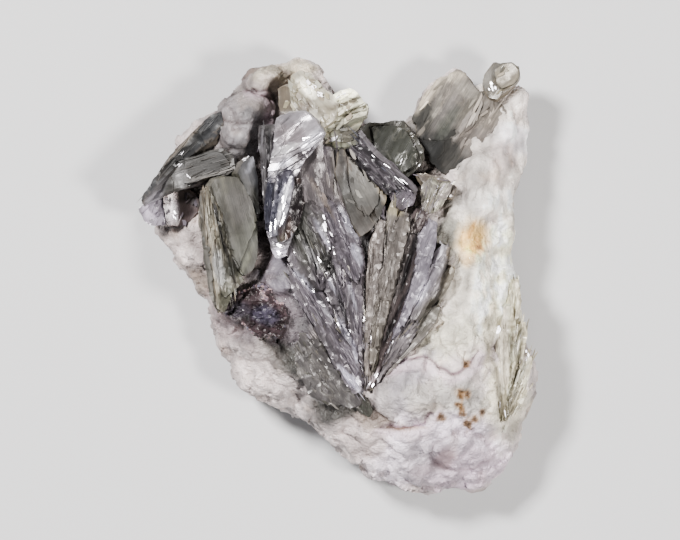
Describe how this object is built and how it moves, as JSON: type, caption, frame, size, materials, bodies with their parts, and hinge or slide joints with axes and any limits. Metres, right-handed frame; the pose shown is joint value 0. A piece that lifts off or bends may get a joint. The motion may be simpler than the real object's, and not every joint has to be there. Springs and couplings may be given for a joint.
{
  "type": "muscovite specimen",
  "caption": "Loose muscovite specimen: silvery mica books and fans on a pale lilac quartz and feldspar matrix, lying on its back.",
  "frame": {"origin": "under the middle of the specimen's bounding box, on the surface that it rests on", "axes": "+X to the right of the show face, +Y towards the two horns at its top, +Z out of the show face, up"},
  "size_m": [0.0886, 0.097, 0.036],
  "materials": {
    "quartz": "granular, matt",
    "silver_mica": "pearly, striated",
    "olive_mica": "pearly, smooth",
    "golden_mica": "pearly, crumpled",
    "green_mica": "glassy, dark",
    "grey_mica": "satin, granular",
    "dark_mineral": "granular, rough"
  },
  "bodies": {
    "root": {"matrix": "quartz", "upper_left_blades": "olive_mica", "left_tip_book": "olive_mica", "left_book": "olive_mica", "silver_blade": "silver_mica", "crest_flakes": "golden_mica", "central_fan": "silver_mica", "shell_plate": "olive_mica", "ridge_blade": "silver_mica", "green_plate": "green_mica", "small_book": "silver_mica", "twin_books": "olive_mica", "fin_mica": "grey_mica", "right_fan": "silver_mica", "tip_book": "olive_mica", "rim_mica": "golden_mica", "dark_crust": "dark_mineral", "lower_flake": "grey_mica"}
  },
  "joints": []
}
